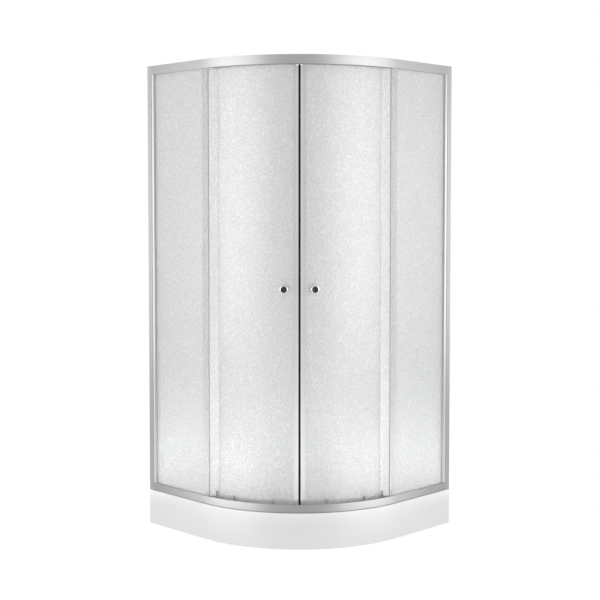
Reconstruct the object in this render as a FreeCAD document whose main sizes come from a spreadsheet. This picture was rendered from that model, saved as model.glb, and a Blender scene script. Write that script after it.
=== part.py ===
import FreeCAD, Part
import os
import Sketcher

# Quadrant shower cabin for a room corner: a shallow tray, two flat fixed panels and two
# curved doors that run on rollers between a bottom rail and a top rail bent round the front.
#
# The room corner is at +X +Y and the floor is at Z zero. Three measures are used throughout:
# depth is taken inward from the outer face of the rails, reach is taken along a side from
# the room wall, and an angle on the bend is taken from the middle of the front.

doc = FreeCAD.newDocument("ShowerCabin")
sheet = doc.addObject("Spreadsheet::Sheet", "Sizes")
nodes = []


class Size:
    """A size that carries its number and the sheet formula that it comes from."""

    def __init__(self, formula, number):
        self.formula = formula
        self.number = number

    def __add__(self, other):
        return Size(f"({self.formula} + {other.formula})", self.number + other.number)

    def __sub__(self, other):
        return Size(f"({self.formula} - {other.formula})", self.number - other.number)

    def __mul__(self, other):
        return Size(f"({self.formula} * {other.formula})", self.number * other.number)

    def __truediv__(self, other):
        share = other if isinstance(other, Size) else Size(str(other), other)
        return Size(f"({self.formula} / {share.formula})", self.number / share.number)

    def __neg__(self):
        return Size(f"(-{self.formula})", -self.number)


def size(name, number, meaning):
    """Write one driving size into the sheet and return it."""
    size.row += 1
    sheet.set(f"A{size.row}", meaning)
    sheet.set(f"B{size.row}", str(number))
    sheet.setAlias(f"B{size.row}", name)
    return Size(f"Sizes.{name}", number)


size.row = 0
ZERO = Size("0", 0)

# Whole cabin
side = size("side", 900, "side of the square that the cabin fills")
bend_radius = size("bend_radius", 550, "radius of the curved front")
total_height = size("total_height", 1930, "floor to the top of the rail")
diagonal_turn = size("diagonal_turn", 225, "direction of the middle of the front, degrees")
radian = size("radian", 57.29578, "degrees in an angle whose arc is as long as its radius")
overrun = size("overrun", 1, "extra length of every cut")
seat_gap = size("seat_gap", 0.15, "bond line or seat against curved glass")
run_gap = size("run_gap", 0.3, "gap round a part that turns or slides")

# Tray and what carries it
tray_height = size("tray_height", 145, "floor to tray rim")
tray_skin = size("tray_skin", 5, "thickness of the tray sheet")
tray_edge_round = size("tray_edge_round", 5, "rounding of the outer rim edge")
pan_rim = size("pan_rim", 60, "width of the rim round the pan")
pan_depth = size("pan_depth", 60, "rim down to the pan floor")
pan_corner_round = size("pan_corner_round", 45, "plan rounding of the pan corners")
pan_edge_round = size("pan_edge_round", 8, "rounding of the pan edge and of its floor")
board_thickness = size("board_thickness", 12, "board under the pan floor")
board_margin = size("board_margin", 12, "board edge inside the pan wall")
board_hole_radius = size("board_hole_radius", 66, "opening in the board for the trap")
tube_width = size("tube_width", 30, "square tube of the frame")
tube_wall = size("tube_wall", 2, "wall of the square tube")
tube_end_gap = size("tube_end_gap", 55, "edge of the square to a tube end")
foot_inset = size("foot_inset", 75, "edge of the square to an outer foot")
foot_pad_radius = size("foot_pad_radius", 20, "foot pad")
foot_pad_thickness = size("foot_pad_thickness", 6, "foot pad")
foot_stud_radius = size("foot_stud_radius", 6, "threaded foot stud")
foot_stud_play = size("foot_stud_play", 4, "stud end below the roof of the tube")
nut_flats = size("nut_flats", 18, "lock nut across its flats")
nut_thickness = size("nut_thickness", 10, "lock nut")
nut_corner_share = size("nut_corner_share", 0.57735, "nut corner reach to its flats")

# Drain
drain_inset = size("drain_inset", 225, "drain from both room walls")
pan_hole_radius = size("pan_hole_radius", 45, "drain hole in the pan")
drain_lip_radius = size("drain_lip_radius", 55, "drain flange lip on the pan floor")
drain_lip_thickness = size("drain_lip_thickness", 3, "drain flange lip")
drain_neck_bore = size("drain_neck_bore", 38, "radius of the way through the drain neck")
drain_neck_length = size("drain_neck_length", 27, "drain neck below the pan floor top")
gasket_radius = size("gasket_radius", 60, "drain gasket and trap flange")
gasket_thickness = size("gasket_thickness", 3, "drain gasket")
trap_flange_thickness = size("trap_flange_thickness", 7, "trap flange")
trap_bore = size("trap_bore", 44, "radius of the trap inside")
trap_wall = size("trap_wall", 4, "wall of the trap")
trap_floor_height = size("trap_floor_height", 12, "floor to the underside of the trap")
outlet_height = size("outlet_height", 36, "floor to the outlet axis")
outlet_radius = size("outlet_radius", 20, "outlet pipe outside")
outlet_wall = size("outlet_wall", 3, "wall of the outlet pipe")
outlet_short = size("outlet_short", 5, "outlet end short of the room wall")
outlet_spigot = size("outlet_spigot", 60, "outlet pipe beyond its stop collar")
collar_radius = size("collar_radius", 24, "stop collar on the outlet")
collar_width = size("collar_width", 6, "stop collar on the outlet")
notch_half_width = size("notch_half_width", 60, "half the skirt opening for the pipe")
notch_height = size("notch_height", 75, "height of the skirt opening")
cover_radius = size("cover_radius", 50, "drain cover")
cover_rim = size("cover_rim", 2, "drain cover at its edge")
cover_rise = size("cover_rise", 5, "drain cover at its middle")
cover_spigot_radius = size("cover_spigot_radius", 36, "spigot of the cover in the neck")
cover_spigot_wall = size("cover_spigot_wall", 3, "spigot of the cover")
cover_spigot_length = size("cover_spigot_length", 14, "spigot of the cover")

# Rails, all depths from the outer face
top_rail_height = size("top_rail_height", 36, "face of the top rail")
bottom_rail_height = size("bottom_rail_height", 32, "face of the bottom rail")
rail_wall = size("rail_wall", 2, "outer wall and webs of the rails")
groove_width = size("groove_width", 8.5, "groove for the fixed glass")
rail_rib = size("rail_rib", 1.5, "partition and lips of the rails")
channel_width = size("channel_width", 16, "roller channel")
lip_height = size("lip_height", 5, "lip that keeps a roller in its channel")
hanging_lip = size("hanging_lip", 10, "lip hanging from the roof of the top rail")
partition_height = size("partition_height", 18, "partition of the bottom rail above its web")

# Wall profiles, posts and fixed glass
profile_width = size("profile_width", 24, "face of the wall profile")
profile_wall = size("profile_wall", 1.5, "sides of the wall profile, walls of the post")
profile_web = size("profile_web", 2, "wall profile against the room wall")
cap_thickness = size("cap_thickness", 3, "cap on a wall profile")
cap_lug = size("cap_lug", 10, "lug of the cap inside the profile")
wall_hole_radius = size("wall_hole_radius", 2.5, "wall fixing hole")
wall_hole_inset = size("wall_hole_inset", 140, "end wall holes from the profile ends")
post_start = size("post_start", 6, "room wall to the back of the post")
post_face = size("post_face", 14, "post showing beyond the wall profile")
post_groove_depth = size("post_groove_depth", 12, "glass groove in the post")
gasket_show = size("gasket_show", 8, "gasket showing beyond the post")
gasket_wall = size("gasket_wall", 1, "gasket on each face of the glass")
gasket_floor = size("gasket_floor", 2, "gasket under the glass edge")
glass_thickness = size("glass_thickness", 5, "fixed and door glass")
fixed_depth = size("fixed_depth", 4, "outer face of the fixed glass")
fixed_overlap = size("fixed_overlap", 30, "fixed glass past the start of the bend")
fixed_top_gap = size("fixed_top_gap", 6, "fixed glass to the roof of its groove")
block_height = size("block_height", 5, "setting block")
block_length = size("block_length", 40, "setting block")
block_near = size("block_near", 70, "room wall to the first setting block")
block_end_gap = size("block_end_gap", 30, "second setting block to the start of the bend")
plug_length = size("plug_length", 20, "plug inside the post")
screw_radius = size("screw_radius", 2, "screw shank")
screw_head_radius = size("screw_head_radius", 4, "screw head")
screw_head_height = size("screw_head_height", 2.5, "screw head")
screw_length = size("screw_length", 16, "rail screw under its head")
screw_short_length = size("screw_short_length", 6, "profile screw under its head")
profile_screw_reach = size("profile_screw_reach", 14, "room wall to a profile screw")
rail_screw_depth = size("rail_screw_depth", 19, "outer face to a rail screw")
bumper_back = size("bumper_back", 149, "end bumper to the start of the bend")
bumper_length = size("bumper_length", 14, "end bumper")
bumper_height = size("bumper_height", 16, "end bumper")

# Seals
seal_wall = size("seal_wall", 1, "wall of a clear seal clip")
seal_grip = size("seal_grip", 12, "clip over the glass edge")
seal_slack = size("seal_slack", 0.6, "clip wall beside curved glass")
seal_fin = size("seal_fin", 1.2, "thickness of a seal fin")
seal_top_gap = size("seal_top_gap", 4, "seal end below the top rail")
fixed_seal_start = size("fixed_seal_start", 200, "floor to the foot of the fixed seal")
fixed_fin_depth = size("fixed_fin_depth", 30, "fin tip of the fixed seal")
trail_fin_depth = size("trail_fin_depth", 10, "fin tip of the trailing seal")
magnet_width = size("magnet_width", 4.15, "magnet strip along the closing direction")
magnet_gap = size("magnet_gap", 0.15, "magnet strip to the middle of the front")
lead_edge = size("lead_edge", 11.8, "middle of the front to the clip beside the glass edge")
door_seal_start = size("door_seal_start", 168, "floor to the foot of the door seals")

# Doors, angles in degrees from the middle of the front
door_depth = size("door_depth", 31.5, "outer face of the door glass")
door_trail_angle = size("door_trail_angle", 46, "trailing edge of the glass")
door_bottom = size("door_bottom", 164, "floor to the door glass")
door_top_gap = size("door_top_gap", 8, "door glass below the top of the rail")
near_angle = size("near_angle", 11.9, "rollers nearer the middle")
far_angle = size("far_angle", 30.2, "rollers farther from the middle")
glass_hole_radius = size("glass_hole_radius", 5, "hole for a roller bolt or a knob")
wheel_depth = size("wheel_depth", 14, "outer face of a roller")
wheel_width = size("wheel_width", 4.5, "roller")
wheel_recess = size("wheel_recess", 1.7, "recess in the roller for the bolt head")
wheel_crown = size("wheel_crown", 0.5, "chamfer on the roller edges")
top_wheel_radius = size("top_wheel_radius", 10, "upper roller")
guide_wheel_radius = size("guide_wheel_radius", 8, "lower guide roller")
bolt_radius = size("bolt_radius", 3, "roller bolt shank")
bolt_head_radius = size("bolt_head_radius", 4.7, "roller bolt head")
bolt_head_height = size("bolt_head_height", 1.2, "roller bolt head")
bolt_shoulder_radius = size("bolt_shoulder_radius", 4.5, "sleeve between roller and glass")
bolt_tail = size("bolt_tail", 5, "bolt inside the cap nut")
cap_nut_radius = size("cap_nut_radius", 9, "cap nut on the inner face of the glass")
cap_nut_height = size("cap_nut_height", 8, "cap nut")
cap_nut_round = size("cap_nut_round", 2, "edge of the cap nut")
knob_angle = size("knob_angle", 6.45, "door knobs")
knob_height = size("knob_height", 1022, "floor to the knobs")
knob_radius = size("knob_radius", 16, "knob head")
knob_neck_radius = size("knob_neck_radius", 9, "knob neck")
knob_neck_length = size("knob_neck_length", 6, "knob neck")
knob_length = size("knob_length", 28, "knob from its washer")
knob_edge = size("knob_edge", 3, "bevel of the knob head")
knob_dish = size("knob_dish", 2.5, "dish in the knob face")
knob_dish_radius = size("knob_dish_radius", 11, "dish in the knob face")
knob_stud_radius = size("knob_stud_radius", 3, "stud through the glass")
knob_stud_length = size("knob_stud_length", 16, "stud past the outer washer")
washer_thickness = size("washer_thickness", 1, "knob washer")

# Sprung lower guides
axle_radius = size("axle_radius", 2.5, "guide axle")
axle_head_radius = size("axle_head_radius", 3.7, "guide axle head")
guide_foot_depth = size("guide_foot_depth", 38.5, "outer face of the guide foot")
guide_foot_length = size("guide_foot_length", 10, "guide foot inward")
guide_foot_half_width = size("guide_foot_half_width", 5, "half the guide foot")
guide_foot_below = size("guide_foot_below", 4, "guide foot below the axle")
guide_foot_above = size("guide_foot_above", 5, "guide foot above the axle")
guide_fin_depth = size("guide_fin_depth", 27.5, "outer face of the guide fin")
guide_fin_thickness = size("guide_fin_thickness", 3, "guide fin")
guide_fin_half_width = size("guide_fin_half_width", 2, "half the guide fin")
guide_fin_height = size("guide_fin_height", 33.7, "guide fin above the axle")
plunger_radius = size("plunger_radius", 4, "plunger of the guide")
plunger_length = size("plunger_length", 31, "plunger above the foot")
housing_length = size("housing_length", 14, "guide housing inward")
housing_half_width = size("housing_half_width", 10, "half the guide housing")
housing_start = size("housing_start", 176, "floor to the guide housing")
housing_height = size("housing_height", 30, "guide housing")
housing_roof = size("housing_roof", 3, "guide housing above its bore")
spring_radius = size("spring_radius", 3.2, "middle of the spring wire")
spring_wire = size("spring_wire", 0.4, "half the thickness of the square spring wire")
spring_turns = size("spring_turns", 4, "turns of the spring")

doc.recompute()

# Places that several pieces share
half = side / 2
bend_centre = bend_radius - half
straight_length = side - bend_radius
pan_floor = tray_height - pan_depth
pan_underside = pan_floor - tray_skin
drain_offset = half - drain_inset
top_rail_start = total_height - top_rail_height
ledge_top = top_rail_start + rail_wall
roof = total_height - rail_wall
bottom_web_top = tray_height + rail_wall
bottom_rail_top = tray_height + bottom_rail_height
groove_end = rail_wall + groove_width
channel_start = groove_end + rail_rib
channel_end = channel_start + channel_width
rail_depth = channel_end + rail_rib
bottom_lip_top = bottom_web_top + lip_height
fixed_inner = fixed_depth + glass_thickness
door_inner = door_depth + glass_thickness
seal_end = top_rail_start - seal_top_gap
top_axle = ledge_top + run_gap + top_wheel_radius
guide_axle = bottom_web_top + run_gap + guide_wheel_radius


class Side:
    """One of the two sides of the cabin, which mirror each other across the diagonal."""

    def __init__(self, name, sign, across_plane, along_plane):
        self.name = name
        self.sign = sign
        self.across_plane = across_plane
        self.along_plane = along_plane

    def at(self, depth, reach):
        """Plan position from a depth and a reach along the straight part of the side."""
        inward = depth - half
        forward = half - reach
        return (inward, forward) if self.name == "left" else (forward, inward)

    def turn(self, angle):
        """Direction from the bend centre at an angle from the middle of the front."""
        return diagonal_turn + self.sign * angle


sides = (
    Side("left", Size("-1", -1), "YZ_Plane", "XZ_Plane"),
    Side("right", Size("1", 1), "XZ_Plane", "YZ_Plane"),
)


def bind(item, field, value):
    """Tie one field of an item to a size in the sheet."""
    item.setExpression(field, value.formula)


def new_body(name):
    return doc.addObject("PartDesign::Body", name)


def new_sketch(body, plane_role, level=ZERO):
    """Start a sketch on one of the body's own planes, moved along the plane's normal."""
    plane = [item for item in body.Origin.OriginFeatures if item.Role == plane_role][0]
    sketch = body.newObject("Sketcher::SketchObject", body.Name + "Sketch")
    sketch.AttachmentSupport = [(plane, "")]
    sketch.MapMode = "FlatFace"
    bind(sketch, "AttachmentOffset.Base.z", level)
    return sketch


def limit(sketch, constraint, value):
    """Add one dimension to a sketch and tie it to the sheet."""
    index = sketch.addConstraint(constraint)
    bind(sketch, f"Constraints[{index}]", value)


def hold(sketch, line, end, x=None, y=None):
    """Hold one point of a sketch line by its distances from the sketch origin."""
    for kind, value in (("DistanceX", x), ("DistanceY", y)):
        if value is not None:
            limit(sketch, Sketcher.Constraint(kind, -1, 1, line, end, value.number), value)


def point(x, y):
    return FreeCAD.Vector(x.number, y.number, 0)


def draw_loop(sketch, corners):
    """Draw a closed outline of straight lines with every corner held."""
    first = sketch.GeometryCount
    count = len(corners)
    for index in range(count):
        start = point(*corners[index])
        end = point(*corners[(index + 1) % count])
        sketch.addGeometry(Part.LineSegment(start, end))
    for index in range(count):
        following = first + (index + 1) % count
        sketch.addConstraint(Sketcher.Constraint("Coincident", first + index, 2, following, 1))
    for index, (x, y) in enumerate(corners):
        hold(sketch, first + index, 1, x, y)


def draw_circle(sketch, x, y, radius):
    circle = Part.Circle(point(x, y), FreeCAD.Vector(0, 0, 1), radius.number)
    index = sketch.addGeometry(circle)
    hold(sketch, index, 3, x, y)
    limit(sketch, Sketcher.Constraint("Radius", index, radius.number), radius)


def draw_front(sketch, inset, wall_end, closed):
    """Draw side, bend and side of the plan, and the two wall sides where it is closed."""
    front = inset - half
    far_end = half - wall_end
    middle = point(bend_centre, bend_centre)
    corners = [(front, far_end), (front, bend_centre), (bend_centre, front), (far_end, front)]
    spots = [point(*corner) for corner in corners]
    bend = Part.Circle(middle, FreeCAD.Vector(0, 0, 1), (bend_radius - inset).number)
    first = sketch.GeometryCount
    sketch.addGeometry(Part.LineSegment(spots[0], spots[1]))
    sketch.addGeometry(Part.ArcOfCircle(bend, bend.parameter(spots[1]), bend.parameter(spots[2])))
    sketch.addGeometry(Part.LineSegment(spots[2], spots[3]))
    for index in (first, first + 1):
        sketch.addConstraint(Sketcher.Constraint("Coincident", index, 2, index + 1, 1))
    hold(sketch, first, 1, *corners[0])
    hold(sketch, first, 2, *corners[1])
    hold(sketch, first + 1, 3, bend_centre, bend_centre)
    hold(sketch, first + 1, 2, bend_centre)
    hold(sketch, first + 2, 2, *corners[3])
    if closed:
        inner = point(far_end, far_end)
        sketch.addGeometry(Part.LineSegment(spots[3], inner))
        sketch.addGeometry(Part.LineSegment(inner, spots[0]))
        for index in (first + 2, first + 3):
            sketch.addConstraint(Sketcher.Constraint("Coincident", index, 2, index + 1, 1))
        sketch.addConstraint(Sketcher.Constraint("Coincident", first + 4, 2, first, 1))
        hold(sketch, first + 3, 2, far_end, far_end)


def pad(body, sketch, length, backward=False):
    feature = body.newObject("PartDesign::Pad", body.Name + "Pad")
    feature.Profile = sketch
    feature.Reversed = backward
    bind(feature, "Length", length)


def pocket(body, sketch, length, forward=False):
    feature = body.newObject("PartDesign::Pocket", body.Name + "Pocket")
    feature.Profile = sketch
    feature.Reversed = forward
    bind(feature, "Length", length)


def spin(body, sketch, axis):
    feature = body.newObject("PartDesign::Revolution", body.Name + "Turn")
    feature.Profile = sketch
    feature.ReferenceAxis = (sketch, [axis])


def rectangle(x_low, x_high, y_low, y_high):
    return [(x_low, y_low), (x_high, y_low), (x_high, y_high), (x_low, y_high)]


def side_rectangle(which, depth_low, depth_high, reach_low, reach_high):
    """Plan rectangle on one side, from its depths and its reaches."""
    corners = rectangle(depth_low, depth_high, reach_low, reach_high)
    return [which.at(depth, reach) for depth, reach in corners]


def extrude(name, loops, bottom, top):
    """Body of straight outlines in plan, raised between two heights."""
    body = new_body(name)
    sketch = new_sketch(body, "XY_Plane", bottom)
    for loop in loops:
        draw_loop(sketch, loop)
    pad(body, sketch, top - bottom)
    return body


def add_block(body, loop, bottom, top):
    """Raise one more straight outline on a body."""
    sketch = new_sketch(body, "XY_Plane", bottom)
    draw_loop(sketch, loop)
    pad(body, sketch, top - bottom)


def drill_down(body, x, y, radius, top, depth):
    """Round hole downward from a height."""
    sketch = new_sketch(body, "XY_Plane", top)
    draw_circle(sketch, x, y, radius)
    pocket(body, sketch, depth)


def drill_side(body, plane_role, level, spots, radius, depth):
    """Round holes toward minus X or minus Y from an upright plane at a level."""
    backward = plane_role == "XZ_Plane"
    sketch = new_sketch(body, plane_role, -level if backward else level)
    for across, height in spots:
        draw_circle(sketch, across, height, radius)
    pocket(body, sketch, depth, backward)


def turned(name, corners, axis):
    """Body turned about X or Z from a section of along-X and height positions."""
    body = new_body(name)
    sketch = new_sketch(body, "XZ_Plane")
    draw_loop(sketch, corners)
    spin(body, sketch, {"X": "H_Axis", "Z": "V_Axis"}[axis])
    return body


def place(item, x, y, z):
    bind(item, "Placement.Base.x", x)
    bind(item, "Placement.Base.y", y)
    bind(item, "Placement.Base.z", z)
    return item


def lay(item, axis, quarter_turns):
    """Turn an item by quarter turns before it is placed."""
    item.Placement = FreeCAD.Placement(
        FreeCAD.Vector(0, 0, 0), FreeCAD.Rotation(axis, 90 * quarter_turns)
    )
    return item


def place_on_bend(item, direction, z):
    """Place an item drawn along X at a direction from the bend centre."""
    upright = FreeCAD.Vector(0, 0, 1)
    item.Placement = FreeCAD.Placement(
        FreeCAD.Vector(0, 0, 0), FreeCAD.Rotation(upright, direction.number)
    )
    item.setExpression("Placement.Rotation.Angle", f"{direction.formula} * 1 deg")
    return place(item, bend_centre, bend_centre, z)


def radius_at(depth):
    return bend_radius - depth


def cut(name, base, tools):
    """Take tools away from a base."""
    group = doc.addObject("Part::Compound", name + "Tools")
    group.Links = tools
    result = doc.addObject("Part::Cut", name)
    result.Base = base
    result.Tool = group
    return result


def node(label, *items):
    """Name one finished piece, or several equal pieces kept together."""
    if len(items) == 1:
        piece = items[0]
    else:
        piece = doc.addObject("Part::Compound", label + "_set")
        piece.Links = list(items)
    piece.Label = label
    nodes.append(piece)


def edges_where(body, test):
    """Names of the body's edges that pass a test."""
    doc.recompute()
    edges = enumerate(body.Shape.Edges, start=1)
    return [f"Edge{index}" for index, edge in edges if test(edge)]


def soften(body, edge_names, radius):
    base = body.Tip
    feature = body.newObject("PartDesign::Fillet", body.Name + "Round")
    feature.Base = (base, edge_names)
    feature.Radius = radius.number
    bind(feature, "Radius", radius)


def lies_at(edge, height):
    box = edge.BoundBox
    near = overrun.number / 100
    return abs(box.ZMin - height.number) < near and abs(box.ZMax - height.number) < near


# Tray: one formed sheet with a skirt all round, a flat rim and a sunk pan
tray = new_body("Tray")
outline = new_sketch(tray, "XY_Plane")
draw_front(outline, ZERO, ZERO, True)
pad(tray, outline, tray_height)
pan = new_sketch(tray, "XY_Plane", tray_height)
draw_front(pan, pan_rim, pan_rim, True)
pocket(tray, pan, pan_depth)


def is_pan_corner(edge):
    box = edge.BoundBox
    upright = abs(box.ZLength - pan_depth.number) < overrun.number
    sharp = max(box.Center.x, box.Center.y) > bend_centre.number + overrun.number
    return upright and sharp and box.ZMin > overrun.number


soften(tray, edges_where(tray, is_pan_corner), pan_corner_round)
soften(tray, edges_where(tray, lambda edge: lies_at(edge, pan_floor)), pan_edge_round)


def is_outer_rim(edge):
    box = edge.BoundBox
    in_front = min(box.XMin, box.YMin) < overrun.number - half.number
    return lies_at(edge, tray_height) and in_front and max(box.XLength, box.YLength) < side.number


soften(tray, edges_where(tray, is_outer_rim), tray_edge_round)
hollow = new_sketch(tray, "XY_Plane")
draw_front(hollow, tray_skin, tray_skin, True)
pocket(tray, hollow, pan_underside, True)
rim_hollow = new_sketch(tray, "XY_Plane", pan_underside)
draw_front(rim_hollow, tray_skin, tray_skin, True)
draw_front(rim_hollow, pan_rim - tray_skin, pan_rim - tray_skin, True)
pocket(tray, rim_hollow, tray_height - tray_skin - pan_underside, True)
drill_down(tray, drain_offset, drain_offset, pan_hole_radius, pan_floor, tray_skin + overrun)
notch = new_sketch(tray, "XY_Plane")
notch_low = drain_offset - notch_half_width
notch_high = drain_offset + notch_half_width
draw_loop(notch, rectangle(notch_low, notch_high, half - tray_skin - overrun, half + overrun))
pocket(tray, notch, notch_height, True)
node("tray", tray)

# Board glued under the pan floor, open round the trap
board_top = pan_underside
board_bottom = board_top - board_thickness
board = new_body("Board")
board_outline = new_sketch(board, "XY_Plane", board_bottom)
board_inset = pan_rim + board_margin
draw_front(board_outline, board_inset, board_inset, True)
draw_circle(board_outline, drain_offset, drain_offset, board_hole_radius)
pad(board, board_outline, board_thickness)
node("tray_base_board", board)


def cross(half_width, reach):
    """Plan outline of two equal bars that cross in the middle of the tray."""
    low, high = -half_width, half_width
    return [
        (low, -reach), (high, -reach), (high, low), (reach, low), (reach, high), (high, high),
        (high, reach), (low, reach), (low, high), (-reach, high), (-reach, low), (low, low),
    ]


# Frame: two welded square tubes that cross under the board
tube_reach = half - tube_end_gap
foot_reach = half - foot_inset
frame_bottom = board_bottom - tube_width
tube_half = tube_width / 2
tubes = extrude("Tubes", [cross(tube_half, tube_reach)], frame_bottom, board_bottom)
tube_inside = extrude(
    "TubeInside",
    [cross(tube_half - tube_wall, tube_reach + overrun)],
    frame_bottom + tube_wall,
    board_bottom - tube_wall,
)
foot_spots = [
    (ZERO, ZERO), (foot_reach, ZERO), (-foot_reach, ZERO), (ZERO, foot_reach), (ZERO, -foot_reach),
]
foot_holes = []
for x, y in foot_spots:
    hole = new_body("FootHole")
    hole_sketch = new_sketch(hole, "XY_Plane", frame_bottom - overrun)
    draw_circle(hole_sketch, x, y, foot_stud_radius + run_gap)
    pad(hole, hole_sketch, overrun + tube_wall + overrun)
    foot_holes.append(hole)
node("tray_frame", cut("TrayFrame", tubes, [tube_inside] + foot_holes))

# Five levelling feet screwed into the tubes, each with a hexagon lock nut
stud_top = board_bottom - tube_wall - foot_stud_play
foot_section = [
    (ZERO, ZERO),
    (foot_pad_radius, ZERO),
    (foot_pad_radius, foot_pad_thickness),
    (foot_stud_radius, foot_pad_thickness),
    (foot_stud_radius, stud_top),
    (ZERO, stud_top),
]
nut_tip = nut_flats * nut_corner_share
nut_flat = nut_flats / 2
nut_section = [
    (ZERO, -nut_tip), (nut_flat, -nut_tip / 2), (nut_flat, nut_tip / 2),
    (ZERO, nut_tip), (-nut_flat, nut_tip / 2), (-nut_flat, -nut_tip / 2),
]
feet = []
lock_nuts = []
for x, y in foot_spots:
    feet.append(place(turned("Foot", foot_section, "Z"), x, y, ZERO))
    nut = extrude("LockNut", [nut_section], frame_bottom - nut_thickness, frame_bottom)
    drill_down(nut, ZERO, ZERO, foot_stud_radius + run_gap, frame_bottom, nut_thickness + overrun)
    lock_nuts.append(place(nut, x, y, ZERO))
node("levelling_feet", *feet)
node("foot_lock_nuts", *lock_nuts)

# Drain: flange on the pan floor, gasket below it and the trap screwed up against both
drain_neck_radius = trap_bore - run_gap
neck_bottom = pan_floor - drain_neck_length
lip_top = pan_floor + drain_lip_thickness
flange_section = [
    (drain_neck_bore, neck_bottom),
    (drain_neck_radius, neck_bottom),
    (drain_neck_radius, pan_floor),
    (drain_lip_radius, pan_floor),
    (drain_lip_radius, lip_top),
    (drain_neck_bore, lip_top),
]
flange = turned("DrainFlange", flange_section, "Z")
node("drain_flange", place(flange, drain_offset, drain_offset, ZERO))
gasket_bottom = pan_underside - gasket_thickness
gasket_section = rectangle(pan_hole_radius, gasket_radius, gasket_bottom, pan_underside)
gasket = turned("DrainGasket", gasket_section, "Z")
node("drain_gasket", place(gasket, drain_offset, drain_offset, ZERO))

# Trap: a cup with a wide flange, and an outlet pipe toward the room wall with a collar that
# stops the waste pipe
trap_outer = trap_bore + trap_wall
flange_bottom = gasket_bottom - trap_flange_thickness
trap_section = [
    (ZERO, trap_floor_height),
    (trap_outer, trap_floor_height),
    (trap_outer, flange_bottom),
    (gasket_radius, flange_bottom),
    (gasket_radius, gasket_bottom),
    (ZERO, gasket_bottom),
]
trap = turned("Trap", trap_section, "Z")
outlet_end = half - outlet_short - drain_offset
outlet = new_sketch(trap, "XZ_Plane")
draw_circle(outlet, ZERO, outlet_height, outlet_radius)
pad(trap, outlet, outlet_end, True)
collar = new_sketch(trap, "XZ_Plane", outlet_spigot - outlet_end)
draw_circle(collar, ZERO, outlet_height, collar_radius)
pad(trap, collar, collar_width)
drill_down(trap, ZERO, ZERO, trap_bore, gasket_bottom, gasket_bottom - trap_floor_height - trap_wall)
outlet_spot = [(ZERO, outlet_height)]
drill_side(trap, "XZ_Plane", outlet_end, outlet_spot, outlet_radius - outlet_wall, outlet_end)
node("drain_trap", place(trap, drain_offset, drain_offset, ZERO))

# Loose domed cover that lifts out of the drain
spigot_bottom = lip_top - cover_spigot_length
spigot_bore = cover_spigot_radius - cover_spigot_wall
cover_section = [
    (spigot_bore, spigot_bottom),
    (cover_spigot_radius, spigot_bottom),
    (cover_spigot_radius, lip_top),
    (cover_radius, lip_top),
    (cover_radius, lip_top + cover_rim),
    (cover_spigot_radius, lip_top + cover_rise),
    (ZERO, lip_top + cover_rise),
    (ZERO, lip_top),
    (spigot_bore, lip_top),
]
cover = turned("DrainCover", cover_section, "Z")
node("drain_cover", place(cover, drain_offset, drain_offset, ZERO))


def bent_rail(name, section):
    """Rail section of depths and heights carried along both sides and round the bend."""
    body = new_body(name)
    path = new_sketch(body, "XY_Plane")
    draw_front(path, ZERO, profile_width, False)
    profile = new_sketch(body, "XZ_Plane", profile_width - half)
    draw_loop(profile, [(depth - half, height) for depth, height in section])
    doc.recompute()
    pipe = body.newObject("PartDesign::AdditivePipe", name + "Pipe")
    pipe.Profile = profile
    pipe.Spine = (path, [])
    return body


# Top rail: groove for the fixed glass outside, roller channel open to the inside
top_rail = bent_rail("TopRail", [
    (ZERO, top_rail_start),
    (rail_wall, top_rail_start),
    (rail_wall, roof),
    (groove_end, roof),
    (groove_end, top_rail_start),
    (rail_depth, top_rail_start),
    (rail_depth, ledge_top + lip_height),
    (channel_end, ledge_top + lip_height),
    (channel_end, ledge_top),
    (channel_start, ledge_top),
    (channel_start, roof),
    (channel_end, roof),
    (channel_end, roof - hanging_lip),
    (rail_depth, roof - hanging_lip),
    (rail_depth, total_height),
    (ZERO, total_height),
])
post_end = profile_width + post_face
rail_screw_reach = post_end - post_face / 2
screw_hole_radius = screw_radius + run_gap
for which in sides:
    x, y = which.at(rail_screw_depth, rail_screw_reach)
    drill_down(top_rail, x, y, screw_hole_radius, ledge_top, rail_wall + overrun)
node("top_rail", top_rail)

# Bottom rail: groove for the fixed glass and an open trough for the guide rollers
bottom_rail = bent_rail("BottomRail", [
    (ZERO, tray_height),
    (rail_depth, tray_height),
    (rail_depth, bottom_lip_top),
    (channel_end, bottom_lip_top),
    (channel_end, bottom_web_top),
    (channel_start, bottom_web_top),
    (channel_start, bottom_web_top + partition_height),
    (groove_end, bottom_web_top + partition_height),
    (groove_end, bottom_web_top),
    (rail_wall, bottom_web_top),
    (rail_wall, bottom_rail_top),
    (ZERO, bottom_rail_top),
])
node("bottom_rail", bottom_rail)

# Heights of the holes in the upright profiles
profile_top = total_height - cap_thickness
profile_middle = (tray_height + profile_top) / 2
wall_hole_low = tray_height + wall_hole_inset
wall_hole_high = profile_top - wall_hole_inset
wall_hole_heights = (wall_hole_low, profile_middle, wall_hole_high)
profile_screw_heights = tuple(height + profile_width for height in wall_hole_heights)
profile_inner = rail_depth - profile_wall


def wall_profile(which):
    """Channel screwed to the room wall, full height beside the rail ends."""
    loop = [
        (ZERO, ZERO),
        (rail_depth, ZERO),
        (rail_depth, profile_width),
        (profile_inner, profile_width),
        (profile_inner, profile_web),
        (profile_wall, profile_web),
        (profile_wall, profile_width),
        (ZERO, profile_width),
    ]
    plan = [which.at(depth, reach) for depth, reach in loop]
    body = extrude("WallProfile", [plan], tray_height, profile_top)
    middle = rail_depth / 2 - half
    spots = [(middle, height) for height in wall_hole_heights]
    drill_side(body, which.along_plane, half, spots, wall_hole_radius, profile_web + overrun)
    drill_inner_side(body, which, profile_wall + overrun / 2)
    return body


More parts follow.
